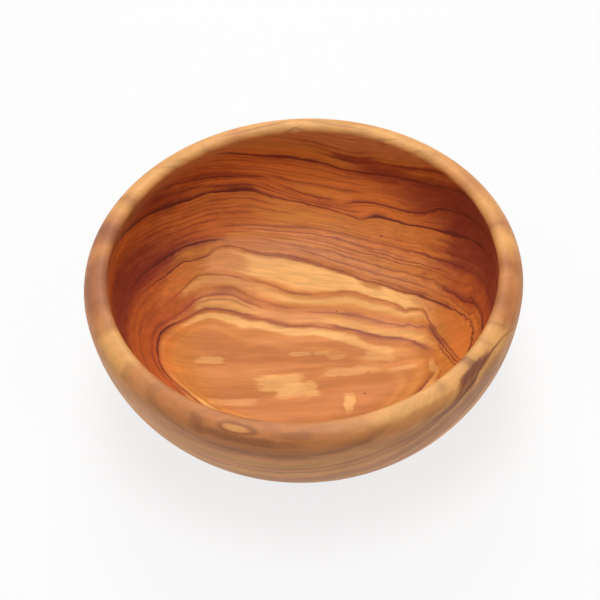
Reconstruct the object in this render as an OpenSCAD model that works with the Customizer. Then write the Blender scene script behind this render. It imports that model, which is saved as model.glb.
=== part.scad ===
// Turned wooden bowl, in millimetres.
// The bowl stands on its flat foot with +Z up, and the origin is the middle of the foot.
// It is one piece of wood: a single outline of tangent arcs, turned about the Z axis.

/* [Bowl] */
// Widest diameter, at the belly just under the rim
bowl_d = 140; // [120:1:180]
// Height from the foot to the top of the rim
bowl_h = 52; // [49:1:80]
// Diameter of the flat foot that the bowl stands on
foot_d = 83; // [60:1:92]

/* [Hollow] */
// Thickness of the wall at the mouth
wall_t = 8; // [6:0.5:11]
// Thickness of the floor
floor_t = 9; // [5:0.5:11]
// Radius of the curve that leads the inner wall into the floor
hollow_r = 32; // [24:1:36]

/* [Rim] */
// Rounding of the rim's inner edge, and the outer edge takes the rest of the wall
rim_inner_r = 2.4; // [1.2:0.1:3.4]

/* [Hidden] */
$fn = 180;

wood_colour = [0.80, 0.50, 0.26];

belly_r = bowl_d / 2;
foot_r = foot_d / 2;
mouth_r = belly_r - wall_t;

// The rim is a bullnose: two roundings that meet at its crown
rim_outer_r = wall_t - rim_inner_r;
crown_r = belly_r - rim_outer_r;
belly_z = bowl_h - rim_outer_r;
inner_edge_z = bowl_h - rim_inner_r;

// The outer side is one arc, upright at the belly, that runs down to the foot's edge
side_in = belly_r - foot_r;
side_r = (side_in * side_in + belly_z * belly_z) / (2 * side_in);
side_centre_r = belly_r - side_r;

// The inner wall drops straight from the rim, then turns into the floor
hollow_centre_r = mouth_r - hollow_r;
hollow_centre_z = floor_t + hollow_r;

// Part of a disc that lies in one rectangle of the section, from its low to its high corner
module arc_piece(centre, radius, low, high) {
    intersection() {
        translate(centre) circle(r = radius);
        translate(low) square(high - low);
    }
}

// Section of the solid blank up to the belly, before it is hollowed
module outer_section() {
    arc_piece([side_centre_r, belly_z], side_r, [side_centre_r, 0], [belly_r, belly_z]);
    square([side_centre_r, belly_z]);
}

// Section of the hollow up to the belly
module hollow_section() {
    arc_piece([hollow_centre_r, hollow_centre_z], hollow_r,
              [hollow_centre_r, floor_t], [mouth_r, hollow_centre_z]);
    translate([0, floor_t]) square([hollow_centre_r, hollow_r]);
    translate([0, hollow_centre_z]) square([mouth_r, bowl_h - hollow_centre_z]);
}

// Section of the rim above the belly, with its rounded outer and inner edges
module rim_section() {
    arc_piece([crown_r, belly_z], rim_outer_r, [crown_r, belly_z], [belly_r, bowl_h]);
    arc_piece([crown_r, inner_edge_z], rim_inner_r, [mouth_r, inner_edge_z], [crown_r, bowl_h]);
    translate([mouth_r, belly_z]) square([rim_inner_r, inner_edge_z - belly_z]);
}

// The whole bowl, turned from one blank
module bowl() {
    color(wood_colour)
    rotate_extrude() {
        difference() {
            outer_section();
            hollow_section();
        }
        rim_section();
    }
}

bowl();
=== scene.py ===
"""A turned olive wood bowl on a pale studio floor, laid out as an add-on and run as a script."""

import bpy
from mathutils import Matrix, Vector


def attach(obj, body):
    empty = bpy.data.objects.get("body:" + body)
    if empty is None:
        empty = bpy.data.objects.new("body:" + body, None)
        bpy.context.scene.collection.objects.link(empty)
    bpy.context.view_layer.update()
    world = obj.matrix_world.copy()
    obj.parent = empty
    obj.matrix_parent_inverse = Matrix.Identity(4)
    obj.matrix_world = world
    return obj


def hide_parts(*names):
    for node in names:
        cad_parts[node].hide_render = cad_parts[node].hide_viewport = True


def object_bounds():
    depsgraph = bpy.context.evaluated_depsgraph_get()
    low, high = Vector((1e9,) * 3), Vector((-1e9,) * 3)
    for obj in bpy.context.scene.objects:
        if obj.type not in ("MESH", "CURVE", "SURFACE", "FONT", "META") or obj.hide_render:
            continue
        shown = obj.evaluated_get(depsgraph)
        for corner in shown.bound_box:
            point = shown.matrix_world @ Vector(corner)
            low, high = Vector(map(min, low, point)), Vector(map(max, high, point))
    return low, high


bl_info = {
    "name": "Turned olive wood bowl",
    "version": (1, 0, 0),
    "blender": (4, 5, 0),
    "location": "3D View > Sidebar > Bowl",
    "description": "Builds a turned olive wood bowl around its CAD model",
    "category": "Object",
}

import math

import bmesh
import bpy
from bpy.props import FloatProperty, FloatVectorProperty, IntProperty, PointerProperty
from mathutils import Quaternion, Vector

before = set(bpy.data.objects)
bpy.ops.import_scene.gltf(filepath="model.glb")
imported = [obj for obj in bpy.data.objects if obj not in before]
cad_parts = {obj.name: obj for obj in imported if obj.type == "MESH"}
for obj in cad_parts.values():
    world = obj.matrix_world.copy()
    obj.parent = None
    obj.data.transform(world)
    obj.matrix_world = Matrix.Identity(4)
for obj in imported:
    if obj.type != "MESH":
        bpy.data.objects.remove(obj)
cad_low, cad_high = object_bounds()

MM = 0.001
UP = Vector((0, 0, 1))
ACROSS = Vector((0, 1, 0))

# Steps along each stretch of the bowl's outline
FLAT_STEPS = 12
CURVE_STEPS = 44
RIM_STEPS = 18
LIP_STEPS = 12
WALL_STEPS = 5
# Points nearer than this are joined
JOIN_DISTANCE = 0.001 * MM

# The floor of the stage, in metres, and the share of white that the camera sees in it
FLOOR_RADIUS = 4.0
FLOOR_SIDES = 64
FLOOR_ROUGHNESS = 0.9
FLOOR_GREY = (0.86, 0.86, 0.86, 1)
FLOOR_WHITE = 0.8
WHITE = (1, 1, 1, 1)
# Places of the lamps, by their names in the studio's settings, and the point that they face
LAMP_SIZE = 0.5
LAMPS = (
    ("overhead", (0, 0, 1.03)),
    ("back", (0, 0.67, 0.77)),
    ("left", (-0.58, -0.34, 0.77)),
    ("right", (0.58, -0.34, 0.77)),
)
TARGET = Vector((0, 0, 0.030))
# The camera: elevation and roll in degrees, distance, and where it aims beside the target
ELEVATION = 49.6
ROLL = -3.19
DISTANCE = 0.45
AIM_RIGHT = -1.35 * MM
AIM_UP = 1.61 * MM
SENSOR = 36.0
CLIP_START = 0.01

# Growth layers, in millimetres: how fast they climb along X, Y and Z
LAYER_SLOPE = (0.077, 0.270, 0.943)
# The layers swell towards the front left, as they do round a knot
SWELL_RISE = 40.0
SWELL_CENTRE = (-51.0, -89.0, 39.0)
SWELL_REACH = (119.0, 60.0, 60.0)
# Height of the highest layer
LAYER_TOP = 72.0
# Least height between two courses
COURSE_GAP = 0.15
# Radius less height at the crest of the rim
RIM_CREST = 12.4
# Radius and height of the middle of the curve that the outside follows
SIDE_CENTRE = (18.0, 46.4)
# The layers stop at a slanting line at the right corner of the floor: its slope, its place on X and
# the step up across it
CORNER_SLOPE = 0.33
CORNER_X = 43.2
CORNER_STEP = (-1.0, 1.2, 0.0, 17.5, "LINEAR")
# Lowest layer that the fibres follow
FIBRE_LAYER = 13.0

# How far the random fields push things, in millimetres or degrees
FRINGE_PUSH = 2.4
SLOW_PUSH = 1.2
QUICK_PUSH = 0.8
END_PUSH = 24.0
AREA_PUSH = 6.0
TURN_PUSH = 5.0
OVER_PUSH = 1.6
# How ragged the edges of areas and of pale patches are, and how soft
RAGGED = 1.6
TORN = 1.5
AREA_SOFT = 0.45
SPOT_SOFT = 0.25
SKIN_SOFT = 0.35
# How long the ends of lines taper, and how much longer each is than the one before
VEIN_TAPER = 8.0
CORNER_TAPER = 4.0
CROSS_TAPER = 2.5
TAPER_STEP = 0.01
# Strength of the reddish edge and the dark core of a vein, and of veins on the outside of the back
VEIN_EDGE = 1.1
VEIN_CORE = 0.9
BACK_VEIN = 0.4
# Slope of the lines on the outside of the back, and how far the rim and the outside hide the fibres
BACK_SLOPE = 0.27
SKIN_CALM = 0.6
# Finish of the oiled wood
SPECULAR = 0.28
PORE_STRENGTH = 0.25
PORE_DEPTH = 0.1 * MM

# Random fields: scale along each axis, per millimetre, and detail
FIELDS = {
    "fringe": ((0.10, 0.10, 0.30), 4.0),
    "slow": ((0.045, 0.16, 0.16), 2.0),
    "quick": ((0.22, 0.6, 0.6), 4.0),
    "fibre": ((0.03, 0.9, 0.25), 3.0),
    "hair": ((0.10, 3.0, 0.6), 2.0),
    "cloud": ((0.03, 0.12, 0.03), 2.0),
    "ring": ((0.012, 0.30, 0.03), 2.0),
    "drift": ((0.10, 0.45, 0.10), 3.0),
    "torn": ((0.16, 0.40, 0.40), 4.0),
    "fineness": ((0.08, 0.3, 0.08), 2.0),
    "pencil": ((0.016, 1.9, 0.06), 2.0),
    "sway": ((0.10, 0.10, 0.10), 3.0),
    "heave": ((0.14, 0.14, 0.14), 3.0),
    "mottle": ((0.09, 0.16, 0.0), 3.0),
    "back_lines": ((0.03, 0.50, 0.10), 3.0),
    "pores": ((0.12, 1.6, 1.6), 2.0),
}
# Soft steps: as a value goes from the first number to the second, they give the third to the fourth,
# or 0 to 1
STEPS = {
    "skin_depth": (45.4, 47.2),
    "skin_height": (49.0, 50.8),
    "waver": (14.0, 30.0, 0.35, 1.0),
    "lift_y": (-14.0, -26.0),
    "lift_x": (-25.0, -40.0),
    "ring_width": (0.016, 0.0),
    "ring_strength": (0.35, 0.65, 0.05, 0.30),
    "ring_layers": (15.0, 21.0),
    "fineness": (0.32, 0.68, 1.7, 0.7),
    "left_end": (-32.0, -50.0),
    "right_end": (41.0, 55.0),
    "warm_strength": (0.5, 0.72, 0.0, 0.35),
    "warm_layers": (17.0, 24.0),
    "pencil_strength": (0.53, 0.68, 0.0, 0.38),
    "pencil_low": (19.0, 23.0, 0.25, 1.0),
    "pencil_high": (40.0, 54.0, 1.0, 0.3),
    # Painted light on the upper back-left wall under the rim: where it begins and ends by height, by x
    # and by y
    "painted_light_z": (43.0, 50.0, 0.0, 0.6),
    "painted_light_x": (20.0, -12.0),
    "painted_light_y": (0.0, 25.0),
    "front": (105.0, 75.0),
    "side_blush": (0.45, 0.7, 0.0, 0.6),
    "rim_to_side": (5.0, 12.0),
    "knot_over": (4.0, 7.5),
    "knot_turn": (14.0, 0.0),
    "back_vein": (4.0, 10.0),
    "mottle": (0.3, 0.7, 0.90, 1.08),
    "back_lines": (0.53, 0.66, 0.0, 0.5),
    "back_y": (0.0, 24.0),
    "back_x": (54.0, 34.0, 0.0, 0.8),
    "fibre_shade": (0.3, 0.7, 0.88, 1.07),
    "hair_shade": (0.3, 0.7, 0.92, 1.06),
    "roughness": (0.3, 0.7, 0.56, 0.44),
}

# Courses of the main layers inside the bowl: layer at the middle, then (x, height) points
GUIDES = (
    (12.7, (
        (-70, 20), (-56, 17), (-50.5, 15.3), (-48, 14.6), (-46, 14), (-42, 13.2), (-36, 12.9),
        (-25, 12.3), (-15, 12.5), (-5, 12.6), (5, 13), (15, 13.1), (25, 12.9), (32, 13.1),
        (38.7, 14), (43, 15.4), (46, 17), (47.5, 18.2), (50.5, 19.6), (53, 21.3), (57, 24.4), (70, 29),
    )),
    (13.75, (
        (-70, 21), (-56, 17.6), (-50, 15.8), (-46, 14.7), (-42, 14.6), (-38, 15.2), (-33, 15.3),
        (-26, 14.8), (-20, 13.8), (-10, 13.5), (0, 13.8), (10, 14.2), (18, 14.3), (30, 14.2),
        (33, 14.3), (36, 15), (38, 15.2), (40, 15.9), (41, 16.2), (43, 16.2), (45, 16.8), (46, 17.2),
        (48, 18.6), (50.5, 20), (53, 21.7), (57, 25), (70, 30),
    )),
    (15.4, (
        (-70, 23.5), (-52, 18.3), (-45, 17.5), (-42, 18), (-38, 19.1), (-30, 18.2), (-24, 17.2),
        (-18, 16.2), (-10, 15.5), (-5, 15.3), (2, 15.5), (10, 16), (16, 16.5), (25, 16.2),
        (33, 16.3), (35, 16.2), (36, 16.6), (38, 17.1), (40, 17.6), (42, 17.4), (43, 16.8), (44, 16.8),
        (46, 17.5), (48, 19), (50.5, 20.5), (53, 22.2), (57, 25.6), (70, 31),
    )),
    (20.0, (
        (-70, 26.5), (-52, 23.4), (-46, 23.1), (-42, 24), (-39, 23.4), (-34, 23), (-30, 24),
        (-26, 23.8), (-20, 22.3), (-15, 21.3), (-8, 20.8), (0, 20), (5, 19.5), (10, 19.1),
        (16, 18.8), (22, 18.4), (28, 18.5), (34, 18.7), (40, 19.7), (46.5, 21), (50.5, 22.6),
        (53, 23.8), (57, 27), (70, 34),
    )),
    (22.2, (
        (-70, 31), (-55, 27.7), (-47, 27.4), (-40, 27.8), (-34, 27.2), (-29, 26.4), (-24, 25.4),
        (-15, 24.2), (-5, 22.8), (5, 21.4), (15, 20.4), (22, 20), (30, 20.2), (35, 20.7),
        (44, 22.1), (50, 23.5), (54, 25), (57, 28), (70, 36),
    )),
    (28.0, (
        (-70, 37), (-50, 31.5), (-45, 31), (-35, 30.6), (-28, 30.2), (-23, 29.7), (-18, 29),
        (-10, 28.3), (0, 28), (8, 27.7), (18, 27.1), (28, 27), (35, 27.5), (42, 29), (48, 30.3),
        (54, 32.5), (60, 36), (70, 42),
    )),
    (35.3, (
        (-70, 49), (-60, 46.5), (-53, 44.5), (-48, 43.5), (-42, 42.1), (-38, 41.9), (-32, 42.4),
        (-28, 41.8), (-23, 41.3), (-17, 40.4), (-13, 38.6), (-8, 37), (0, 35.3), (8, 34.2),
        (15, 33.3), (22, 32.7), (25, 33.8), (28, 34.8), (33, 35.2), (37, 35.3), (42, 36.3),
        (47, 37.8), (52, 39.6), (56, 42), (59, 44), (70, 50),
    )),
    (39.0, (
        (-70, 55), (-50, 52.5), (-45, 51.5), (-35, 49.3), (-25, 47.4), (-18, 46.2), (-12, 45),
        (-9, 43), (-6, 41.5), (-3, 40), (2, 38.3), (8, 37.3), (14, 36.8), (17, 37), (20, 38),
        (26, 39), (34, 39.3), (40, 39.9), (43, 41.3), (46, 43.5), (49, 46.3), (53, 48.5),
        (57, 51), (70, 57),
    )),
    (43.0, (
        (-70, 57), (-50, 54.2), (-45, 53.2), (-35, 51.2), (-25, 49.2), (-18, 47.7), (-12, 46.4),
        (-6, 44.4), (0, 43), (8, 42.2), (15, 41.7), (25, 41.9), (35, 42.7), (40, 43.7),
        (44, 45.6), (49, 49), (53, 51.5), (57, 54), (70, 60),
    )),
    (52.0, (
        (-70, 66), (-30, 58.4), (-18, 55.6), (-14, 54.3), (-8, 53.2), (-2, 52.5), (3, 51.5),
        (8, 50.8), (12, 50), (16, 49), (20, 48.8), (27, 49.5), (35, 50.7), (40, 51.6),
        (44, 52.4), (48, 54), (52, 56.5), (55, 58.5), (70, 66),
    )),
    (56.7, (
        (-70, 70), (-30, 62.8), (-13, 60), (-9, 58.3), (-5, 57.7), (0, 56.7), (5, 55.8),
        (10, 54.5), (15, 53.3), (20, 53), (25, 54), (32, 55), (36, 55.9), (40, 57), (45, 59.5),
        (52, 62.5), (70, 71),
    )),
)
# Course of the streak that crosses the rim at the front right: its level, then points of the turn
# round the bowl (0 at the front) and the way out over the rim
FRONT_GUIDES = (
    (8.0, (
        (-180, 20), (-60, 20.5), (-20, 20.4), (-10, 20.2), (0, 19.4), (10, 17.8), (20, 15.6),
        (30, 12.6), (36, 10.2), (39, 8.5), (41, 6.8), (43, 5), (46, 3), (50, 2.2), (58, 2.6),
        (66, 5), (80, 10), (180, 20),
    )),
    (10.0, (
        (-180, 24), (-60, 23.4), (-20, 22.8), (-10, 22.4), (0, 21.7), (10, 20.5), (15, 19.5),
        (20, 18.2), (25, 16.5), (30, 14.6), (35, 12.2), (40, 10.2), (44, 8.4), (48, 6.2),
        (51, 5), (55, 5), (58, 5.5), (61, 6.6), (63, 7.8), (66, 10), (75, 14), (180, 24),
    )),
)

# Plain colour of the layers inside the bowl, from the floor upwards, in the middle of the grain
TONES = (
    (4.0, "honey"), (9.0, "tan"), (10.7, "tan"), (11.0, "honey"), (11.3, "tan"), (11.75, "honey"),
    (11.95, "honey"), (12.1, "honey"), (12.25, "tan"), (12.7, "tan"), (12.8, "honey"),
    (13.05, "cream"), (13.4, "honey"), (13.6, "rose"), (14.1, "tan"), (14.3, "honey"),
    (14.8, "cream"), (15.3, "honey"), (15.75, "honey"), (16.3, "cream"), (19.2, "cream"),
    (19.7, "honey"), (20.4, "tan"), (22.2, "rose"), (24.5, "honey"), (26.5, "rose"),
    # From layer 57 up the layers turn paler, partly as painted light on the upper back wall under the
    # rim
    (29.0, "honey"), (34.0, "honey"), (36.0, "amber"), (52.0, "amber"), (57.0, "honey"),
    (63.0, "rose"),
)
# The same at the left and the right end of the grain, where the heartwood is darker, and where these
# tones also paint shade on the walls
LEFT_TONES = (
    (4.0, "honey"), (10.5, "honey"), (11.8, "amber"), (13.2, "ember"), (14.5, "ember"),
    (16.5, "amber"), (19.4, "amber"), (20.0, "ember"), (20.4, "russet"), (22.2, "russet"),
    (24.5, "russet"), (29.0, "russet"), (30.5, "ember"), (33.5, "amber"), (35.5, "ember"),
    (37.5, "russet"), (40.0, "ember"), (44.0, "amber"), (52.0, "amber"), (62.0, "honey"),
)
RIGHT_TONES = (
    (4.0, "honey"), (12.5, "tan"), (15.6, "tan"), (17.5, "amber"), (20.4, "amber"),
    (22.5, "ember"), (25.5, "ember"), (27.5, "russet"), (34.8, "russet"),
    (42.0, "russet"), (46.0, "russet"), (50.0, "russet"), (56.0, "ember"), (60.0, "ember"),
    (66.0, "honey"),
)
# Plain colour of the layers on the outside of the back
SKIN_TONES = (
    (0.0, "biscuit"), (10.0, "straw"), (18.0, "biscuit"), (26.0, "straw"), (33.0, "biscuit"),
    (40.0, "biscuit"), (44.0, "straw"), (46.5, "biscuit"), (49.5, "straw"), (52.0, "biscuit"),
    (54.5, "biscuit"), (56.5, "straw"), (58.0, "biscuit"), (63.0, "biscuit"), (66.0, "straw"),
)
# Plain colour of the outside of the front, by level above and below the streak, and their span
FRONT_SPAN = (-12.0, 24.0)
FRONT_TONES = (
    (-12.0, "straw"), (-4.0, "fawn"), (3.0, "fawn"), (6.5, "straw"), (8.0, "fawn"), (9.5, "fawn"),
    (11.0, "straw"), (14.0, "fawn"), (17.0, "straw"), (20.0, "fawn"), (24.0, "straw"),
)
# Coloured areas beside the streak: colour, strength, turn and level of the middle, half sizes
FRONT_AREAS = (
    ("straw", 0.85, 47, 11.3, 15, 1.0),
    ("blush", 0.38, 20, 15.5, 40, 1.6),
    ("blush", 0.38, 30, 20.0, 40, 2.0),
    ("straw", 0.40, -78, 14.0, 26, 7.0),
)
# Colour of the rim by the turn round the bowl, in degrees from the front, and their span
TURN_SPAN = (-180.0, 180.0)
TURN_TONES = (
    (-180, "straw"), (-166, "straw"), (-162, "biscuit"), (-157, "straw"), (-124, "straw"),
    (-119, "biscuit"), (-115, "straw"), (-110, "biscuit"), (-107, "blush"), (-103, "blush"),
    (-99, "biscuit"), (-92, "blush"), (-79, "blush"), (-70, "biscuit"), (-64, "straw"),
    (-55, "straw"), (-52, "biscuit"), (-30, "biscuit"), (-2, "biscuit"), (14, "biscuit"),
    (23, "straw"), (60, "straw"), (66, "biscuit"), (73, "toffee"), (78, "biscuit"),
    (85, "toffee"), (93, "straw"), (100, "biscuit"), (108, "straw"), (118, "biscuit"),
    (142, "straw"), (180, "straw"),
)
# Rings round the knot at the front left and round the eye in it: middle and reach by turn and by
# way over, then distance, colour and strength of each ring, and the span of the distances
RING_SPAN = (0.0, 5.0)
KNOT_TURN = (-12.0, 33.0)
KNOT_OVER = (3.0, 10.5)
KNOT_RINGS = (
    (0.0, "toffee", 0.70), (0.55, "toffee", 0.75), (0.88, "toffee", 0.85), (0.95, "umber", 0.40),
    (0.985, "umber", 0.50), (1.03, "umber", 0.18), (1.15, "biscuit", 0.0),
)
EYE_TURN = (-19.0, 3.5)
EYE_OVER = (3.2, 1.5)
EYE_RINGS = (
    (0.0, "straw", 0.65), (0.65, "straw", 0.55), (0.95, "toffee", 0.6), (1.15, "umber", 0.6),
    (1.4, "umber", 0.45), (1.8, "toffee", 0.5), (2.4, "toffee", 0.6), (3.0, "blush", 0.45),
    (3.4, "blush", 0.3), (3.7, "blush", 0.0),
)

# Dark lines inside: layer, half width, fade above, fade below, strength, from x, to x
VEINS = (
    (12.7, 0.05, 0.06, 0.22, 0.60, -44, -14),
    (12.45, 0.06, 0.12, 0.20, 0.45, -24, 14),
    (12.75, 0.05, 0.06, 0.16, 0.62, 4, 46),
    (12.6, 0.07, 0.05, 0.16, 0.95, -62, -38),
    (13.2, 0.03, 0.06, 0.08, 0.40, -42, -14),
    (13.5, 0.04, 0.20, 0.08, 0.50, -56, -12),
    (14.05, 0.05, 0.08, 0.22, 0.32, -36, 0),
    (13.75, 0.05, 0.10, 0.12, 0.46, -4, 48),
    (13.8, 0.07, 0.15, 0.20, 0.45, -58, -43),
    (15.3, 0.05, 0.10, 0.10, 0.45, -50, -16),
    (15.5, 0.05, 0.10, 0.12, 0.45, -22, 8),
    (15.6, 0.08, 0.10, 0.25, 0.30, 4, 44),
    (15.4, 0.06, 0.10, 0.10, 0.45, 32, 46),
    (19.7, 0.10, 0.20, 0.08, 0.80, -58, -28),
    (20.2, 0.06, 0.15, 0.15, 0.50, -36, 20),
    (19.8, 0.08, 0.30, 0.25, 0.45, -24, 30),
    (20.0, 0.10, 0.25, 0.15, 0.65, 14, 60),
    (20.8, 0.06, 0.20, 0.15, 0.40, 20, 62),
    (20.1, 0.12, 0.20, 0.15, 0.70, 36, 66),
    (23.2, 0.10, 0.25, 0.15, 0.80, 42, 68),
    (27.8, 0.10, 0.30, 0.20, 0.60, 36, 68),
    (30.0, 0.12, 0.30, 0.25, 0.50, 44, 68),
    (22.0, 0.16, 0.35, 0.15, 0.85, -62, -24),
    (23.3, 0.08, 0.20, 0.20, 0.55, -66, -30),
    (24.6, 0.08, 0.25, 0.20, 0.50, -66, -34),
    (26.0, 0.08, 0.20, 0.20, 0.45, -66, -38),
    (22.2, 0.06, 0.25, 0.10, 0.45, -6, 62),
    (22.8, 0.05, 0.15, 0.10, 0.40, -20, 14),
    (23.6, 0.06, 0.20, 0.10, 0.50, 4, 64),
    (24.4, 0.05, 0.15, 0.10, 0.35, -24, 24),
    (25.2, 0.06, 0.20, 0.12, 0.40, -6, 62),
    (25.9, 0.08, 0.20, 0.12, 0.55, 18, 56),
    (26.6, 0.07, 0.20, 0.12, 0.45, -22, 40),
    (27.4, 0.20, 0.40, 0.40, 0.50, -52, -30),
    (28.0, 0.08, 0.25, 0.15, 0.45, -32, 60),
    (28.6, 0.15, 0.30, 0.30, 0.50, -66, -44),
    (29.3, 0.07, 0.20, 0.15, 0.40, -62, -26),
    (30.6, 0.08, 0.25, 0.20, 0.50, -62, -12),
    (31.6, 0.07, 0.25, 0.20, 0.45, -60, 4),
    (32.5, 0.06, 0.20, 0.15, 0.35, -60, -20),
    (33.4, 0.07, 0.25, 0.20, 0.40, -58, -4),
    (35.3, 0.20, 0.60, 0.12, 0.90, -66, -12),
    (35.4, 0.12, 0.35, 0.15, 0.70, -22, 26),
    (35.2, 0.24, 0.35, 0.12, 0.90, 20, 70),
    (36.6, 0.10, 0.20, 0.20, 0.60, -36, 26),
    (37.5, 0.08, 0.20, 0.20, 0.55, -18, 22),
    (38.4, 0.08, 0.20, 0.20, 0.45, -12, 20),
    (38.8, 0.12, 0.40, 0.10, 0.70, -54, -8),
    (39.2, 0.12, 0.25, 0.20, 0.70, -12, 16),
    (38.8, 0.18, 0.40, 0.15, 0.80, 13, 68),
    (40.3, 0.30, 0.60, 0.40, 0.50, 38, 68),
    (42.8, 0.12, 0.30, 0.30, 0.50, -14, 26),
    (52.0, 0.28, 0.50, 0.25, 0.80, -32, 66),
    (46.0, 0.12, 0.30, 0.30, 0.35, -46, 30),
    (48.8, 0.12, 0.30, 0.30, 0.35, -40, 36),
    (56.6, 0.22, 0.50, 0.35, 0.60, 4, 62),
    (60.6, 0.20, 0.60, 0.40, 0.40, -6, 30),
    (16.2, 0.05, 0.15, 0.10, 0.45, -64, -46),
    (18.2, 0.05, 0.15, 0.12, 0.45, -64, -48),
    (21.2, 0.06, 0.20, 0.12, 0.50, -64, -38),
    (34.3, 0.06, 0.20, 0.15, 0.40, -60, -10),
    (37.2, 0.08, 0.20, 0.15, 0.50, -60, -28),
    (40.2, 0.08, 0.25, 0.20, 0.35, -56, -18),
    (41.6, 0.07, 0.20, 0.20, 0.30, -52, -4),
    (44.6, 0.08, 0.25, 0.20, 0.35, -48, 12),
    (50.4, 0.08, 0.25, 0.20, 0.35, -40, 24),
    (54.4, 0.08, 0.25, 0.20, 0.35, 10, 40),
    (58.6, 0.10, 0.30, 0.25, 0.35, -14, 40),
)
# The same where the lines bunch at the right corner of the floor: by distance across and by y
CORNER_LINES = (
    (-0.9, 0.10, 0.25, 0.25, 0.70, -26, -4),
    (0.1, 0.12, 0.30, 0.25, 0.75, -26, 6),
    (1.1, 0.10, 0.30, 0.20, 0.60, -26, 14),
)
# The streak and the lines beside it, in the same order, by level and turn
STREAKS = (
    (10.0, 0.12, 0.25, 0.35, 0.40, -34, 69),
    (10.0, 0.30, 0.35, 0.40, 0.85, 28, 63),
    (8.0, 0.12, 0.30, 0.40, 0.35, -24, 50),
    (8.1, 0.30, 0.30, 0.50, 0.65, 29, 51),
    (9.0, 0.50, 0.60, 0.60, 0.45, 28, 52),
    (6.0, 0.20, 0.60, 0.60, 0.20, -40, 36),
    (13.6, 0.15, 0.40, 0.40, 0.22, -50, 60),
    (16.5, 0.20, 0.60, 0.60, 0.18, -60, 70),
)
# Brown lines across the rim: turn, half width, fades, strength, from and to on the way over
CROSS_LINES = (
    (-150.5, 0.4, 0.9, 0.9, 0.15, -4, 8), (-119, 0.5, 1.2, 1.2, 0.20, -4, 8),
    (-106, 1.2, 2.0, 2.0, 0.25, -4, 8), (-68.5, 0.5, 1.2, 1.2, 0.25, -4, 9),
    (-54, 0.4, 1.5, 0.8, 0.30, -1, 9), (36, 0.3, 1.0, 1.0, 0.25, -4, 5),
    (47.5, 0.6, 0.9, 1.2, 0.60, -4, 6), (55.5, 0.3, 1.0, 1.0, 0.25, -4, 5),
    (62.5, 0.4, 0.9, 1.2, 0.40, -4, 6), (71, 0.5, 1.2, 1.2, 0.25, -4, 5),
    (84, 0.8, 1.8, 1.8, 0.25, -4, 6), (100, 0.4, 1.2, 1.2, 0.25, -4, 6),
)

# Coloured areas that follow the grain: colour, strength, x and layer of the middle, half length
# and half height
# The russet and ember areas on the left and upper right walls are partly darker heartwood and partly
# painted shade.
AREAS = (
    ("rose", 0.85, -29, 17.6, 10, 2.3),
    ("tan", 0.80, -41, 17.4, 7, 2.6),
    ("amber", 0.85, -49, 17.0, 8, 3.2),
    ("ember", 0.50, -54, 17.4, 5, 3.0),
    ("honey", 0.12, -15, 17.5, 10, 2.2),
    ("tan", 0.75, 24.5, 18.9, 4.5, 0.9),
    ("tan", 0.97, 49.5, 15.8, 8.5, 6.0),
    ("amber", 0.80, 53.5, 16.5, 5.5, 5.0),
    ("rose", 0.60, 41.5, 19.0, 4.0, 1.4),
    ("cream", 0.85, -16, 12.0, 26, 0.28),
    ("cream", 0.60, 12, 11.9, 14, 0.20),
    ("rose", 0.70, -6, 13.1, 11, 0.5),
    ("tan", 0.60, -12, 13.9, 14, 0.35),
    ("tan", 0.70, 20, 15.4, 15, 0.4),
    ("rose", 0.90, -18, 21.6, 10, 1.9),
    ("honey", 0.85, -38.5, 21.1, 6.5, 0.7),
    ("ember", 0.80, -37, 24.6, 9, 2.2),
    ("russet", 0.55, -46, 25.5, 9, 3.5),
    ("amber", 0.85, -34, 30.0, 20, 4.6),
    ("amber", 0.55, 32, 30.0, 15, 4.0),
    ("ember", 0.60, -29, 41.2, 19, 2.6),
    ("russet", 0.50, -28, 40.6, 9, 2.0),
    ("ember", 0.55, -42, 45.5, 9, 3.0),
    ("honey", 0.50, 6, 41.0, 9, 1.4),
    ("russet", 0.35, 37, 46.8, 9, 4.2),
    ("russet", 0.75, 51, 45.0, 12, 7.0),
    ("russet", 0.70, 34, 51.4, 15, 2.3),
    ("russet", 0.40, 4, 51.8, 20, 0.9),
    # This honey area is painted light on the upper back wall under the rim
    ("honey", 0.30, -2, 55.5, 15, 2.6),
    ("russet", 0.70, 29, 54.4, 8, 2.0),
    ("honey", 0.50, 16, 54.3, 5, 0.8),
    ("russet", 0.90, 20, 57.4, 7, 1.4),
    ("ember", 0.70, 38, 56.4, 13, 1.0),
    ("russet", 0.45, -53, 25.5, 10, 5.0),
    ("ember", 0.45, -57, 16.8, 6, 4.0),
    ("ember", 0.65, -49, 14.2, 9, 1.7),
    ("ember", 0.35, -31, 28.0, 10, 2.5),
    ("rose", 0.40, -26, 14.8, 13, 0.6),
)
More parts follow.
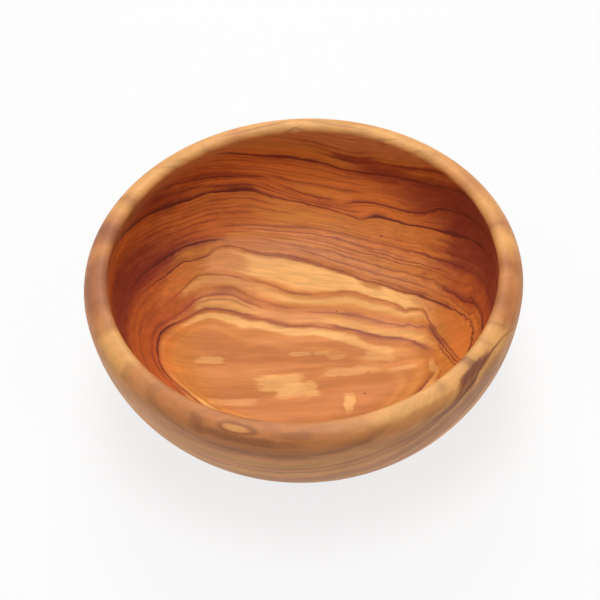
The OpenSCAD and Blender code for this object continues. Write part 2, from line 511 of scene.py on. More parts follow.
# Pale patches and pin knots at their own places: colour, strength, middle and reach
SPOTS = (
    ("honey", 0.45, (-25, -12, 9), (13, 4.5, 4)),
    ("cream", 0.42, (-33.5, -4.6, 9), (4.2, 1.6, 4)),
    ("cream", 0.60, (-9, -15.8, 9), (7.5, 3.6, 4)),
    ("cream", 0.60, (-3.5, -19.0, 9), (6.5, 3.4, 4)),
    ("cream", 0.60, (13, -25.5, 9), (1.3, 3.8, 4)),
    ("cream", 0.45, (24.2, -5.3, 9), (4.5, 3.6, 4)),
    ("cream", 0.42, (13.6, -12.3, 9), (8.5, 1.9, 4)),
    ("cream", 0.35, (-3, -3.9, 9), (3.5, 0.9, 4)),
    ("cream", 0.35, (4.8, -3.9, 9), (3.0, 0.9, 4)),
    ("cream", 0.35, (10.2, -6, 9), (3.0, 1.0, 4)),
    ("cream", 0.40, (31, -12.3, 9), (5.5, 0.8, 4)),
    ("cream", 0.45, (42, -15, 12.4), (1.0, 3.2, 3)),
    ("cream", 0.30, (-25, -23, 10), (7, 1.6, 4)),
    ("vein", 0.80, (28.6, 41.6, 16.4), (0.5, 0.4, 0.4)),
    ("vein", 0.85, (11.2, 14.2, 9), (0.35, 0.3, 0.6)),
    ("vein", 0.75, (13.0, 12.6, 9), (0.3, 0.25, 0.6)),
    ("vein", 0.85, (17.7, -22, 9), (0.35, 0.3, 0.6)),
)
# Coloured areas of the rim: colour, strength, turn and way over of the middle, half sizes
SKIN_SPOTS = (
    ("straw", 0.60, -59.5, 1.5, 6.0, 6.0),
    ("straw", 0.60, 30, 1.0, 13.0, 3.6),
    ("toffee", 0.60, 29, 7.0, 13.0, 2.6),
    ("toffee", 0.60, 67, 5.0, 5.0, 2.6),
    ("toffee", 0.50, 42, 7.5, 3.2, 3.0),
    ("umber", 0.45, -16.5, 7.4, 12.5, 1.6),
    ("umber", 0.35, -29, 4.4, 2.6, 2.4),
    ("blush", 0.65, -3.5, 3.8, 3.4, 1.4),
    ("straw", 0.22, 12, 1.2, 7, 2.2),
    ("blush", 0.35, -20, 13.5, 18, 1.6),
    ("toffee", 0.50, 73, 3.6, 8, 3.2),
    ("russet", 0.55, 47.0, 4.6, 6.0, 1.9),
    ("umber", 0.75, 46.5, 4.2, 4.4, 1.2),
    ("toffee", 0.30, -42, 2.0, 14, 6.0),
    ("straw", 0.40, -72, 17.0, 22, 6.0),
    ("blush", 0.30, 38, 16.0, 22, 5.0),
)


def size(name, description, default):
    """A length that can be set in the panel."""
    return FloatProperty(name=name, description=description, default=default, unit="LENGTH")


def tint(name, description, default):
    """A colour that can be set in the panel."""
    return FloatVectorProperty(name=name, description=description, default=default, subtype="COLOR")


def wattage(name, description, default):
    """A lamp's power that can be set in the panel."""
    return FloatProperty(name=name, description=description, default=default, unit="POWER")


class BowlShape(bpy.types.PropertyGroup):
    """Sizes of the turned bowl."""

    width: size("Width", "Widest diameter, at the belly just under the rim", cad_high.x - cad_low.x)
    height: size("Height", "Height from the foot to the top of the rim", cad_high.z)
    foot: size("Foot", "Diameter of the flat foot", 0.083)
    foot_edge: size("Foot edge", "Width of the softened edge round the foot", 0.0008)
    wall: size("Wall", "Thickness of the wall at the mouth", 0.008)
    floor: size("Floor", "Thickness of the floor", 0.009)
    hollow: size("Hollow curve", "Radius of the curve from the inner wall into the floor", 0.032)
    rim_inner: size("Inner rim", "Rounding of the rim's inner edge", 0.0024)
    turns: IntProperty(
        name="Turns",
        description="Number of steps round the bowl",
        default=320,
        min=48,
    )


class WoodColours(bpy.types.PropertyGroup):
    """Colours of the olive wood."""

    cream: tint("Cream", "Palest growth layers", (0.92, 0.485, 0.15))
    honey: tint("Honey", "Warm pale layers", (0.66, 0.24, 0.044))
    tan: tint("Tan", "Plain wood of the floor", (0.56, 0.18, 0.029))
    rose: tint("Rose", "Pinkish layers", (0.70, 0.265, 0.085))
    amber: tint("Amber", "Deep orange layers of the upper wall", (0.68, 0.19, 0.037))
    # Ember and russet are darker heartwood, and also painted shade on the left and upper right walls
    ember: tint("Ember", "Burnt orange near the dark heartwood", (0.46, 0.088, 0.02))
    russet: tint("Russet", "Dark red-brown heartwood", (0.28, 0.042, 0.023))
    vein: tint("Vein", "Dark lines between the layers", (0.11, 0.02, 0.008))
    straw: tint("Straw", "Palest wood of the rim", (0.77, 0.375, 0.12))
    biscuit: tint("Biscuit", "Plain wood of the rim and the outside", (0.61, 0.25, 0.085))
    fawn: tint("Fawn", "Pinkish pale wood of the outside", (0.73, 0.305, 0.118))
    blush: tint("Blush", "Pinkish brown wood of the rim's left and front", (0.39, 0.14, 0.058))
    toffee: tint("Toffee", "Warm brown wood round the knot on the rim", (0.53, 0.19, 0.058))
    umber: tint("Umber", "Brown lines of the rim and the outside", (0.19, 0.058, 0.029))


class StudioSet(bpy.types.PropertyGroup):
    """Floor, lights and camera."""

    overhead: wattage("Overhead light", "Power of the soft light overhead", 5.9)
    back: wattage("Back light", "Power of the soft light behind the bowl", 3.7)
    left: wattage("Left light", "Power of the weak light at the front left", 1.1)
    right: wattage("Right light", "Power of the weak light at the front right", 1.0)
    fill: FloatProperty(
        name="Fill",
        description="Strength of the even light from all round",
        default=0.12,
    )
    lens: FloatProperty(
        name="Lens",
        description="Focal length of the camera",
        default=81.96,
        unit="CAMERA",
    )


def arc(bm, vert, centre, degrees, steps):
    """Draws an arc on from a vertex of the outline, and returns the arc's last vertex."""
    made = bmesh.ops.spin(
        bm,
        geom=[vert],
        cent=centre,
        axis=ACROSS,
        angle=math.radians(degrees),
        steps=steps,
    )
    return [item for item in made["geom_last"] if isinstance(item, bmesh.types.BMVert)][0]


def line(bm, vert, end, steps):
    """Draws a straight line on from a vertex of the outline, and returns its last vertex."""
    step = (Vector(end) - vert.co) / steps
    for _ in range(steps):
        made = bmesh.ops.extrude_vert_indiv(bm, verts=[vert])
        vert = made["verts"][0]
        bmesh.ops.translate(bm, verts=[vert], vec=step)
    return vert


def add_mesh(name, bm, material):
    """Makes an object of the finished mesh, smooth all over."""
    bmesh.ops.remove_doubles(bm, verts=bm.verts, dist=JOIN_DISTANCE)
    bmesh.ops.recalc_face_normals(bm, faces=bm.faces)
    for face in bm.faces:
        face.smooth = True
    mesh = bpy.data.meshes.new(name)
    bm.to_mesh(mesh)
    bm.free()
    mesh.materials.append(material)
    piece = bpy.data.objects.new(name, mesh)
    bpy.context.scene.collection.objects.link(piece)
    return piece


class Board:
    """Sets out shader nodes in one node tree and joins them up."""

    def __init__(self, tree):
        self.nodes = tree.nodes
        self.links = tree.links

    def put(self, socket, value):
        """Feeds a socket from another node, or sets it to a plain value."""
        if isinstance(value, bpy.types.NodeSocket):
            self.links.new(value, socket)
        else:
            socket.default_value = value

    def node(self, kind, inputs, **settings):
        """A node with its settings and its inputs."""
        node = self.nodes.new("ShaderNode" + kind)
        for name, value in settings.items():
            setattr(node, name, value)
        for key, value in inputs.items():
            self.put(node.inputs[key], value)
        return node

    def math(self, operation, *values):
        """A sum on one to three values."""
        return self.node("Math", dict(enumerate(values)), operation=operation).outputs[0]

    def vector(self, operation, *places):
        """A sum on two places that gives a place."""
        return self.node("VectorMath", dict(enumerate(places)), operation=operation).outputs[0]

    def measure(self, operation, *places):
        """A sum on one or two places that gives a value."""
        return self.node("VectorMath", dict(enumerate(places)), operation=operation).outputs[1]

    def place(self, x, y, z):
        """A place made of three values."""
        return self.node("CombineXYZ", {0: x, 1: y, 2: z}).outputs[0]

    def span(self, value, low, high, to_low=0.0, to_high=1.0, ease="SMOOTHSTEP"):
        """Carries a value from one span to another, and holds it at the ends."""
        inputs = {0: value, 1: low, 2: high, 3: to_low, 4: to_high}
        node = self.node("MapRange", inputs, interpolation_type=ease, clamp=False)
        if ease != "LINEAR":
            return node.outputs[0]
        return self.node("Clamp", {0: node.outputs[0], 1: to_low, 2: to_high}).outputs[0]

    def times(self, first, second):
        """A product of two values."""
        return self.math("MULTIPLY", first, second)

    def push(self, value, other, reach):
        """A value moved by another one times a reach."""
        return self.math("MULTIPLY_ADD", other, reach, value)

    def step(self, value, name):
        """One of the soft steps, taken by a value."""
        return self.span(value, *STEPS[name])

    def noise(self, place, name):
        """One of the random fields, from 0 to 1."""
        scale, detail = FIELDS[name]
        scaled = self.vector("MULTIPLY", place, scale)
        inputs = {"Vector": scaled, "Scale": 1.0, "Detail": detail}
        return self.node("TexNoise", inputs).outputs[0]

    def swing(self, place, name):
        """One of the random fields, from -0.5 to 0.5."""
        return self.math("SUBTRACT", self.noise(place, name), 0.5)

    def blend(self, share, first, second, way="MIX"):
        """Blends two colours."""
        inputs = {0: share, 6: first, 7: second}
        return self.node("Mix", inputs, data_type="RGBA", blend_type=way).outputs[2]

    def course(self, along, points):
        """Height of a layer along the grain, through listed points."""
        node = self.node("FloatCurve", {1: along})
        curve = node.mapping.curves[0]
        first = points[0][0]
        length = points[-1][0] - first
        spots = [((x - first) / length, y / LAYER_TOP) for x, y in points]
        curve.points[0].location = spots[0]
        curve.points[1].location = spots[-1]
        for spot in spots[1:-1]:
            curve.points.new(*spot)
        node.mapping.update()
        return self.times(node.outputs[0], LAYER_TOP)

    def straighten(self, x, height, guides):
        """Layer at a place, from the courses that the main layers take along the grain."""
        points = guides[0][1]
        along = self.span(x, points[0][0], points[-1][0], ease="LINEAR")
        levels = [level for level, _ in guides]
        courses = []
        for _, points in guides:
            course = self.course(along, points)
            if courses:
                course = self.math("MAXIMUM", course, self.math("ADD", courses[-1], COURSE_GAP))
            courses.append(course)
        below = self.math("MINIMUM", self.math("SUBTRACT", height, courses[0]), 0.0)
        above = self.math("MAXIMUM", self.math("SUBTRACT", height, courses[-1]), 0.0)
        layer = self.math("ADD", self.math("ADD", below, above), levels[0])
        for index in range(len(guides) - 1):
            rise = levels[index + 1] - levels[index]
            part = self.span(height, courses[index], courses[index + 1], 0.0, rise, "LINEAR")
            layer = self.math("ADD", layer, part)
        return layer

    def tones(self, share, low, high, stops, colours):
        """A ramp of named colours, read at a share of the span from low to high: colour, strength."""
        node = self.node("ValToRGB", {0: share})
        ramp = node.color_ramp.elements
        ramp.remove(ramp[1])
        for stop, name, *strength in stops:
            place = (stop - low) / (high - low)
            if stop == stops[0][0]:
                ramp[0].position = place
                mark = ramp[0]
            else:
                mark = ramp.new(place)
            mark.color = (*getattr(colours, name), strength[0] if strength else 1.0)
        return node.outputs

    def group(self, tree, inputs):
        """A node group placed with its inputs."""
        node = self.nodes.new("ShaderNodeGroup")
        node.node_tree = tree
        for key, value in inputs.items():
            self.put(node.inputs[key], value)
        return node.outputs[0]


def new_group(name, inputs, output):
    """An empty node group, as its tree, its board, its entry sockets and its exit socket."""
    tree = bpy.data.node_groups.new(name, "ShaderNodeTree")
    for label, kind in inputs:
        tree.interface.new_socket(label, in_out="INPUT", socket_type=kind)
    tree.interface.new_socket(output, in_out="OUTPUT", socket_type="NodeSocketFloat")
    entry = tree.nodes.new("NodeGroupInput")
    leave = tree.nodes.new("NodeGroupOutput")
    return tree, Board(tree), entry.outputs, leave.inputs[0]


def vein_group():
    """One dark line along a layer, soft above and below, between two places along the grain."""
    labels = (
        "Clear", "Fine Layer", "Along", "Fineness", "Level", "Half Width",
        "Above", "Below", "Strength", "From", "To", "Taper",
    )
    tree, board, entry, leave = new_group(
        "wood_vein", [(label, "NodeSocketFloat") for label in labels], "Clear"
    )
    # The sums start from late values, so that few of them wait at once and the renderer has room
    level = board.times(entry["Level"], entry["Fineness"])
    off = board.math("SUBTRACT", entry["Fine Layer"], level)
    over = board.math("MAXIMUM", board.math("SUBTRACT", off, entry["Half Width"]), 0.0)
    flipped = board.times(off, -1.0)
    under = board.math("MAXIMUM", board.math("SUBTRACT", flipped, entry["Half Width"]), 0.0)
    fade = board.math(
        "ADD",
        board.math("DIVIDE", over, entry["Above"]),
        board.math("DIVIDE", under, entry["Below"]),
    )
    mask = board.math("EXPONENT", board.times(fade, -1.0))
    risen = board.math("ADD", entry["From"], entry["Taper"])
    start = board.span(entry["Along"], entry["From"], risen)
    fallen = board.math("SUBTRACT", entry["To"], entry["Taper"])
    stop = board.span(entry["Along"], entry["To"], fallen)
    mask = board.times(mask, board.times(start, stop))
    mask = board.times(mask, entry["Strength"])
    clear = board.math("SUBTRACT", 1.0, mask)
    board.put(leave, board.times(clear, entry["Clear"]))
    return tree


def patch_group():
    """A rounded area with a ragged edge."""
    inputs = (
        ("Place", "NodeSocketVector"),
        ("Middle", "NodeSocketVector"),
        ("Reach", "NodeSocketVector"),
        ("Ragged", "NodeSocketFloat"),
        ("Soft", "NodeSocketFloat"),
        ("Strength", "NodeSocketFloat"),
    )
    tree, board, entry, leave = new_group("wood_patch", inputs, "Mask")
    off = board.vector("SUBTRACT", entry["Place"], entry["Middle"])
    off = board.vector("DIVIDE", off, entry["Reach"])
    far = board.math("SQRT", board.measure("LENGTH", board.vector("MULTIPLY", off, off)))
    far = board.math("ADD", far, entry["Ragged"])
    outer = board.math("ADD", 1.0, entry["Soft"])
    inner = board.math("SUBTRACT", 1.0, entry["Soft"])
    mask = board.span(far, outer, inner)
    board.put(leave, board.times(mask, entry["Strength"]))
    return tree


class OliveWood:
    """Oiled olive wood: growth layers, dark veins, coloured areas and fine fibres."""

    def __init__(self, colours):
        self.colours = colours
        self.material = bpy.data.materials.new("olive_wood")
        self.material.use_nodes = True
        self.board = Board(self.material.node_tree)
        self.vein_tree = vein_group()
        self.patch_tree = patch_group()

    def colour(self, name):
        """One of the named colours."""
        return (*getattr(self.colours, name), 1)

    def dye(self, wood, share, name):
        """Wood with a share of one of the named colours laid over it."""
        return self.board.blend(share, wood, self.colour(name))

    def share_of(self, value, span):
        """Share of a span that a value has reached."""
        low, high = span
        return self.board.math("DIVIDE", self.board.math("SUBTRACT", value, low), high - low)

    def tones(self, share, span, stops):
        """Colour and strength at a share of a span, from a table of tones."""
        return self.board.tones(share, *span, stops, self.colours)

    def layer_tones(self, stops):
        """Colour of the growth layers, from a table of tones."""
        return self.tones(self.layer_share, (0.0, LAYER_TOP), stops)[0]

    def patch(self, wood, where, name, strength, middle, reach, ragged, soft):
        """Lays one coloured patch on the wood."""
        inputs = {
            "Place": where, "Middle": middle, "Reach": reach,
            "Ragged": ragged, "Soft": soft, "Strength": strength,
        }
        return self.dye(wood, self.board.group(self.patch_tree, inputs), name)

    def areas(self, wood, where, areas, soft):
        """Lays a table of coloured areas on the wood, with edges as ragged as the grain."""
        for name, strength, along, up, length, rise in areas:
            middle = (along, up, 0)
            reach = (length, rise, 1)
            wood = self.patch(wood, where, name, strength, middle, reach, self.ragged, soft)
        return wood

    def veins(self, veins, layer, along, fineness, taper):
        """Darkness of a table of veins."""
        board = self.board
        labels = ("Level", "Half Width", "Above", "Below", "Strength", "From", "To")
        fine_layer = board.times(layer, fineness)
        clear = 1.0
        for index, vein in enumerate(veins):
            inputs = dict(zip(labels, (float(value) for value in vein)))
            inputs.update({"Clear": clear, "Fine Layer": fine_layer, "Along": along})
            inputs.update({"Fineness": fineness, "Taper": taper + TAPER_STEP * index})
            clear = board.group(self.vein_tree, inputs)
        return board.math("SUBTRACT", 1.0, clear)

    def find_place(self):
        """Places in the wood, in millimetres."""
        board = self.board
        spot = board.node("TexCoord", {}).outputs["Object"]
        self.place = board.vector("MULTIPLY", spot, (1 / MM, 1 / MM, 1 / MM))
        self.x, self.y, self.z = board.node("SeparateXYZ", {0: self.place}).outputs
        flat = board.vector("MULTIPLY", self.place, (1, 1, 0))
        self.radius = board.measure("LENGTH", flat)

    def find_skin(self):
        """The paler wood of the rim and the outside, by way out and by height; on the rim it is partly
        drier wood and partly painted light, and its edge inside the rim lies where the shade on the
        inner wall begins.
        """
        board = self.board
        out_r = board.math("SUBTRACT", self.radius, SIDE_CENTRE[0])
        out_z = board.math("SUBTRACT", self.z, SIDE_CENTRE[1])
        depth = board.measure("LENGTH", board.place(out_r, out_z, 0.0))
        fringe = board.push(self.z, board.swing(self.place, "fringe"), FRINGE_PUSH)
        outside = board.step(depth, "skin_depth")
        self.skin = board.math("MAXIMUM", outside, board.step(fringe, "skin_height"))

    def lay_layers(self):
        """Growth layers, straightened along the guides."""
        board = self.board
        climb = board.measure("DOT_PRODUCT", self.place, LAYER_SLOPE)
        off = board.vector("SUBTRACT", self.place, SWELL_CENTRE)
        off = board.vector("DIVIDE", off, SWELL_REACH)
        far = board.measure("DOT_PRODUCT", off, off)
        swell = board.math("EXPONENT", board.times(far, -1.0))
        height = board.push(climb, swell, SWELL_RISE)
        waver = board.step(height, "waver")
        slow = board.swing(self.place, "slow")
        quick = board.swing(self.place, "quick")
        wobble = board.push(board.times(quick, QUICK_PUSH), slow, SLOW_PUSH)
        height = board.push(height, wobble, waver)
        lift = board.times(board.step(self.y, "lift_y"), board.step(self.x, "lift_x"))
        height = board.math("ADD", height, lift)
        layer = board.straighten(self.x, height, GUIDES)
        slant = board.push(self.x, self.y, CORNER_SLOPE)
        corner = board.math("SUBTRACT", slant, CORNER_X)
        self.corner = board.math("ADD", corner, wobble)
        self.layer = board.math("MAXIMUM", layer, board.span(self.corner, *CORNER_STEP))

    def cast_fields(self):
        """Random fields along the grain: fibres, thin growth lines, clouds and ragged edges."""
        board = self.board
        self.grain = board.place(self.x, board.math("MAXIMUM", self.layer, FIBRE_LAYER), self.y)
        self.fibre = board.noise(self.grain, "fibre")
        self.hair = board.noise(self.grain, "hair")
        self.cloud = board.noise(self.grain, "cloud")
        ring = board.math("ABSOLUTE", board.swing(self.grain, "ring"))
        ring = board.step(ring, "ring_width")
        ring = board.times(ring, board.step(self.cloud, "ring_strength"))
        self.ring = board.times(ring, board.step(self.layer, "ring_layers"))
        self.drift = board.swing(self.grain, "drift")
        self.ragged = board.times(self.drift, RAGGED)
        self.torn = board.times(board.swing(self.place, "torn"), TORN)
        self.fineness = board.step(board.noise(self.grain, "fineness"), "fineness")
        self.layer_share = board.math("DIVIDE", self.layer, LAYER_TOP)

    def colour_inside(self):
        """The wood inside the bowl, with its areas, patches, lines and veins; the dark left and right
        walls are partly painted shade, and the upper back wall carries painted light.
        """
        board = self.board
        wood = self.layer_tones(TONES)
        edge = board.push(self.x, self.drift, END_PUSH)
        # Darker tones at the ends of the grain: darker heartwood, and partly painted shade on the left
        # and right walls
        wood = board.blend(board.step(edge, "left_end"), wood, self.layer_tones(LEFT_TONES))
        wood = board.blend(board.step(edge, "right_end"), wood, self.layer_tones(RIGHT_TONES))
        warm = board.step(self.cloud, "warm_strength")
        warm = board.times(warm, board.step(self.layer, "warm_layers"))
        wood = self.dye(wood, warm, "amber")
        along = board.push(self.x, self.drift, AREA_PUSH)
        wood = self.areas(wood, board.place(along, self.layer, 0.0), AREAS, AREA_SOFT)
        where = board.place(along, self.y, self.z)
        for name, strength, middle, reach in SPOTS:
            wood = self.patch(wood, where, name, strength, middle, reach, self.torn, SPOT_SOFT)
        wood = self.dye(wood, self.ring, "russet")
        pencil = board.step(board.noise(self.grain, "pencil"), "pencil_strength")
        pencil = board.times(pencil, board.step(self.layer, "pencil_low"))
        pencil = board.times(pencil, board.step(self.layer, "pencil_high"))
        wood = self.dye(wood, pencil, "russet")
        dark = self.veins(VEINS, self.layer, along, self.fineness, VEIN_TAPER)
        ends = self.veins(CORNER_LINES, self.corner, self.y, self.fineness, CORNER_TAPER)
        self.dark = board.math("MAXIMUM", dark, ends)
        edge = board.math("MINIMUM", board.times(self.dark, VEIN_EDGE), 1.0)
        wood = self.dye(wood, edge, "russet")
        core = board.times(board.times(self.dark, self.dark), VEIN_CORE)
        wood = self.dye(wood, core, "vein")
        # Painted light: the upper back-left wall under the rim is lightened towards biscuit, as if light
        # from above and behind falls on it
        painted_light = board.times(board.step(self.z, "painted_light_z"), board.step(self.x, "painted_light_x"))
        painted_light = board.times(painted_light, board.step(self.y, "painted_light_y"))
        return self.dye(wood, painted_light, "biscuit")

    def find_turn(self):
        """Turn round the bowl, way out over the rim, and level beside the streak at the front."""
        board = self.board
        sway = board.swing(self.place, "sway")
        turn = board.math("ARCTAN2", self.x, board.times(self.y, -1.0))
        turn = board.math("DEGREES", turn)
        self.front = board.step(board.math("ABSOLUTE", turn), "front")
        self.turn = board.push(turn, sway, TURN_PUSH)
        heave = board.swing(self.place, "heave")
        over = board.math("SUBTRACT", board.math("SUBTRACT", self.radius, self.z), RIM_CREST)
        self.over = board.push(over, heave, OVER_PUSH)
        self.level = board.straighten(self.turn, self.over, FRONT_GUIDES)

    def colour_side(self):
        """Plain wood of the outside: by layers at the back, and by the streak at the front."""
        board = self.board
        back = self.layer_tones(SKIN_TONES)
        back = self.dye(back, board.step(self.cloud, "side_blush"), "blush")
        front = self.tones(self.share_of(self.level, FRONT_SPAN), FRONT_SPAN, FRONT_TONES)[0]
        front = self.areas(front, board.place(self.turn, self.level, 0.0), FRONT_AREAS, AREA_SOFT)
        return board.blend(self.front, back, front)

    def colour_outside(self):
        """The wood of the rim and the outside, with the knot, the streak and the lines."""
        board = self.board
        side = self.colour_side()
        rim = self.tones(self.share_of(self.turn, TURN_SPAN), TURN_SPAN, TURN_TONES)[0]
        wood = board.blend(board.step(self.over, "rim_to_side"), rim, side)
        where = board.place(self.turn, self.over, 0.0)
        open_over = board.step(self.over, "knot_over")
        open_end = board.math("MAXIMUM", open_over, board.step(self.turn, "knot_turn"))
        for turns, overs, stops in ((KNOT_TURN, KNOT_OVER, KNOT_RINGS), (EYE_TURN, EYE_OVER, EYE_RINGS)):
            off = board.vector("SUBTRACT", where, (turns[0], overs[0], 0))
            far = board.measure("LENGTH", board.vector("DIVIDE", off, (turns[1], overs[1], 1)))
            shades = self.tones(self.share_of(far, RING_SPAN), RING_SPAN, stops)
            wood = board.blend(board.times(shades[1], open_end), wood, shades[0])
        wood = self.areas(wood, where, SKIN_SPOTS, SKIN_SOFT)
        crossing = self.veins(CROSS_LINES, self.turn, self.over, 1.0, CROSS_TAPER)
        wood = self.dye(wood, crossing, "umber")
        streaks = self.veins(STREAKS, self.level, self.turn, self.fineness, VEIN_TAPER)
        wood = self.dye(wood, streaks, "umber")
        behind = board.push(BACK_VEIN, self.front, -BACK_VEIN)
        behind = board.times(self.dark, behind)
        behind = board.times(behind, board.step(self.over, "back_vein"))
        wood = self.dye(wood, behind, "umber")
        mottle = board.step(board.noise(where, "mottle"), "mottle")
        wood = board.blend(1.0, wood, mottle, "MULTIPLY")
        aside = board.math("ABSOLUTE", self.x)
        chord = board.push(self.y, aside, BACK_SLOPE)
        chord = board.noise(board.place(self.x, chord, self.z), "back_lines")
        lines = board.times(board.step(chord, "back_lines"), board.step(self.y, "back_y"))
        lines = board.times(lines, board.step(aside, "back_x"))
        return self.dye(wood, lines, "umber")

    def finish(self, inside, outside):
        """Joins the two woods, shades them with fibres and gives them their oiled surface."""
        board = self.board
        shader = board.nodes["Principled BSDF"]
        wood = board.blend(self.skin, inside, outside)
        fibres = board.step(self.fibre, "fibre_shade")
        shade = board.times(fibres, board.step(self.hair, "hair_shade"))
        calm = board.times(self.skin, SKIN_CALM)
        shade = board.node("Mix", {0: calm, 2: shade, 3: 1.0}).outputs[0]
        wood = board.blend(1.0, wood, shade, "MULTIPLY")
        board.put(shader.inputs["Base Color"], wood)
        board.put(shader.inputs["Roughness"], board.step(self.fibre, "roughness"))
        shader.inputs["Specular IOR Level"].default_value = SPECULAR
        pores = board.noise(self.place, "pores")
        inputs = {"Height": pores, "Strength": PORE_STRENGTH, "Distance": PORE_DEPTH}
        bump = board.node("Bump", inputs)
        board.put(shader.inputs["Normal"], bump.outputs[0])


def olive_wood(colours):
    """Makes the bowl's wood, inside first."""
    wood = OliveWood(colours)
    wood.find_place()
    wood.find_skin()
    wood.lay_layers()
    wood.cast_fields()
    inside = wood.colour_inside()
    wood.find_turn()
    outside = wood.colour_outside()
    wood.finish(inside, outside)
    return wood.material


class BOWL_OT_turned_bowl(bpy.types.Operator):
    """Turns the bowl from its outline"""

    bl_idname = "bowl.turned_bowl"
    bl_label = "Turned bowl"

    def execute(self, context):
        shape = context.scene.bowl_shape
        belly_r = shape.width / 2
        foot_r = shape.foot / 2
        mouth_r = belly_r - shape.wall
        rim_outer = shape.wall - shape.rim_inner
        crown_r = belly_r - rim_outer
        belly_z = shape.height - rim_outer
        inner_z = shape.height - shape.rim_inner
        side_in = belly_r - foot_r
        side_r = (side_in**2 + belly_z**2) / (2 * side_in)
        side_centre = Vector((belly_r - side_r, 0, belly_z))
        hollow_centre = Vector((mouth_r - shape.hollow, 0, shape.floor + shape.hollow))

        bm = bmesh.new()
        foot_turn = math.degrees(shape.foot_edge / side_r)
        side_turn = math.degrees(math.asin(belly_z / side_r)) - foot_turn
        start = bm.verts.new((0, 0, 0))
        foot_end = line(bm, start, (foot_r - shape.foot_edge, 0, 0), FLAT_STEPS)
        side_start = side_centre + side_r * Vector(
            (math.cos(math.radians(side_turn)), 0, -math.sin(math.radians(side_turn)))
        )
        edge = line(bm, foot_end, side_start, 1)
        belly = arc(bm, edge, side_centre, -side_turn, CURVE_STEPS)
        crown = arc(bm, belly, (crown_r, 0, belly_z), -90, RIM_STEPS)
        lip = arc(bm, crown, (crown_r, 0, inner_z), -90, LIP_STEPS)
        wall = line(bm, lip, (mouth_r, 0, hollow_centre.z), WALL_STEPS)
        floor = arc(bm, wall, hollow_centre, 90, CURVE_STEPS)
        line(bm, floor, (0, 0, shape.floor), FLAT_STEPS)
        bmesh.ops.spin(
            bm,
            geom=bm.verts[:] + bm.edges[:],
            cent=(0, 0, 0),
            axis=UP,
            angle=math.tau,
            steps=shape.turns,
            use_merge=True,
        )
        piece = add_mesh("turned_bowl", bm, olive_wood(context.scene.wood_colours))
        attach(piece, "root")
        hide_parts("bowl")
        return {"FINISHED"}


def seen_rays(board):
    """1 for rays from the camera, a gloss or a glass, which see a white studio."""
    path = board.node("LightPath", {}).outputs
    seen = board.math("MAXIMUM", path["Is Camera Ray"], path["Is Glossy Ray"])
    return board.math("MAXIMUM", seen, path["Is Transmission Ray"])


def floor_material():
    """Pale matt floor, nearly white to the camera where no shadow falls."""
    material = bpy.data.materials.new("studio_floor")
    material.use_nodes = True
    board = Board(material.node_tree)
    shader = board.nodes["Principled BSDF"]
    shader.inputs["Base Color"].default_value = FLOOR_GREY
    shader.inputs["Roughness"].default_value = FLOOR_ROUGHNESS
    white = board.node("Emission", {"Strength": 1.0})
    share = board.times(seen_rays(board), FLOOR_WHITE)
    inputs = {0: share, 1: shader.outputs[0], 2: white.outputs[0]}
    mix = board.node("MixShader", inputs)
    board.put(board.nodes["Material Output"].inputs["Surface"], mix.outputs[0])
    return material


def area_light(name, place, power):
    """A soft round light that faces the target."""
    lamp = bpy.data.lights.new(name, "AREA")
    lamp.shape = "DISK"
    lamp.size = LAMP_SIZE
    lamp.energy = power
    light = bpy.data.objects.new(name, lamp)
    light.location = place
    light.rotation_mode = "QUATERNION"
    light.rotation_quaternion = (TARGET - Vector(place)).to_track_quat("-Z", "Y")
    bpy.context.scene.collection.objects.link(light)


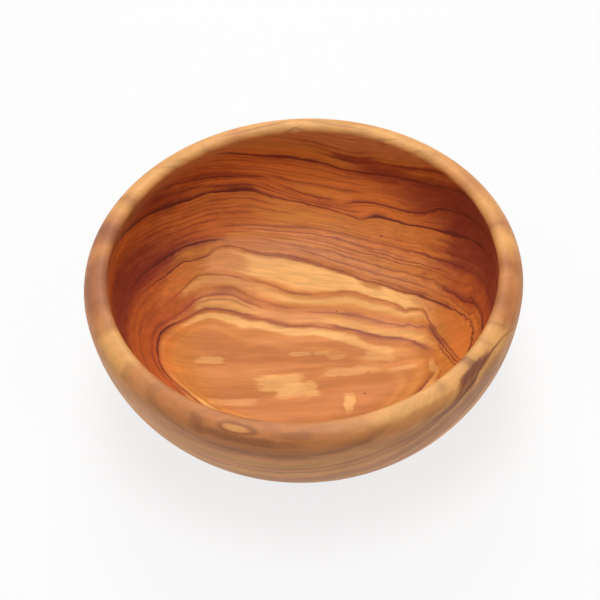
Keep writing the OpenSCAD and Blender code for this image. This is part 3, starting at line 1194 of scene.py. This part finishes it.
class BOWL_OT_studio_stage(bpy.types.Operator):
    """Sets up the pale floor, the soft light and the camera"""

    bl_idname = "bowl.studio_stage"
    bl_label = "Studio stage"

    def execute(self, context):
        scene = context.scene
        studio = scene.studio_set
        bm = bmesh.new()
        bmesh.ops.create_circle(bm, cap_ends=True, segments=FLOOR_SIDES, radius=FLOOR_RADIUS)
        floor = add_mesh("studio_floor", bm, floor_material())
        for name, place in LAMPS:
            area_light(name + "_light", place, getattr(studio, name))

        world = bpy.data.worlds.new("studio_world")
        world.use_nodes = True
        board = Board(world.node_tree)
        ambient = board.nodes["Background"]
        ambient.inputs["Color"].default_value = WHITE
        ambient.inputs["Strength"].default_value = studio.fill
        white = board.node("Background", {"Color": WHITE, "Strength": 1.0})
        inputs = {0: seen_rays(board), 1: ambient.outputs[0], 2: white.outputs[0]}
        mix = board.node("MixShader", inputs)
        board.put(board.nodes["World Output"].inputs["Surface"], mix.outputs[0])
        scene.world = world

        elevation = math.radians(ELEVATION)
        back = Vector((0, -math.cos(elevation), math.sin(elevation)))
        right = Vector((1, 0, 0))
        above = back.cross(right)
        aim = TARGET + AIM_RIGHT * right + AIM_UP * above
        place = TARGET + DISTANCE * back
        lens = bpy.data.cameras.new("photo_camera")
        lens.lens = studio.lens
        lens.sensor_width = SENSOR
        lens.clip_start = CLIP_START
        camera = bpy.data.objects.new("photo_camera", lens)
        camera.location = place
        camera.rotation_mode = "QUATERNION"
        look = (aim - place).to_track_quat("-Z", "Y")
        camera.rotation_quaternion = look @ Quaternion(UP, math.radians(ROLL))
        scene.collection.objects.link(camera)
        scene.camera = camera
        scene.view_settings.view_transform = "Standard"
        return {"FINISHED"}


class BOWL_PT_panel(bpy.types.Panel):
    """Lists the bowl's sizes and colours, and the steps that build it"""

    bl_idname = "BOWL_PT_panel"
    bl_label = "Turned bowl"
    bl_space_type = "VIEW_3D"
    bl_region_type = "UI"
    bl_category = "Bowl"

    def draw(self, context):
        layout = self.layout
        for group in (
            context.scene.bowl_shape,
            context.scene.wood_colours,
            context.scene.studio_set,
        ):
            column = layout.column()
            for name in group.__annotations__:
                column.prop(group, name)
        layout.operator(BOWL_OT_turned_bowl.bl_idname)
        layout.operator(BOWL_OT_studio_stage.bl_idname)


CLASSES = (
    BowlShape,
    WoodColours,
    StudioSet,
    BOWL_OT_turned_bowl,
    BOWL_OT_studio_stage,
    BOWL_PT_panel,
)


def register():
    for cls in CLASSES:
        bpy.utils.register_class(cls)
    bpy.types.Scene.bowl_shape = PointerProperty(type=BowlShape)
    bpy.types.Scene.wood_colours = PointerProperty(type=WoodColours)
    bpy.types.Scene.studio_set = PointerProperty(type=StudioSet)


def unregister():
    del bpy.types.Scene.bowl_shape
    del bpy.types.Scene.wood_colours
    del bpy.types.Scene.studio_set
    for cls in reversed(CLASSES):
        bpy.utils.unregister_class(cls)


def main():
    register()
    bpy.ops.bowl.turned_bowl()
    bpy.ops.bowl.studio_stage()


if __name__ == "__main__":
    main()
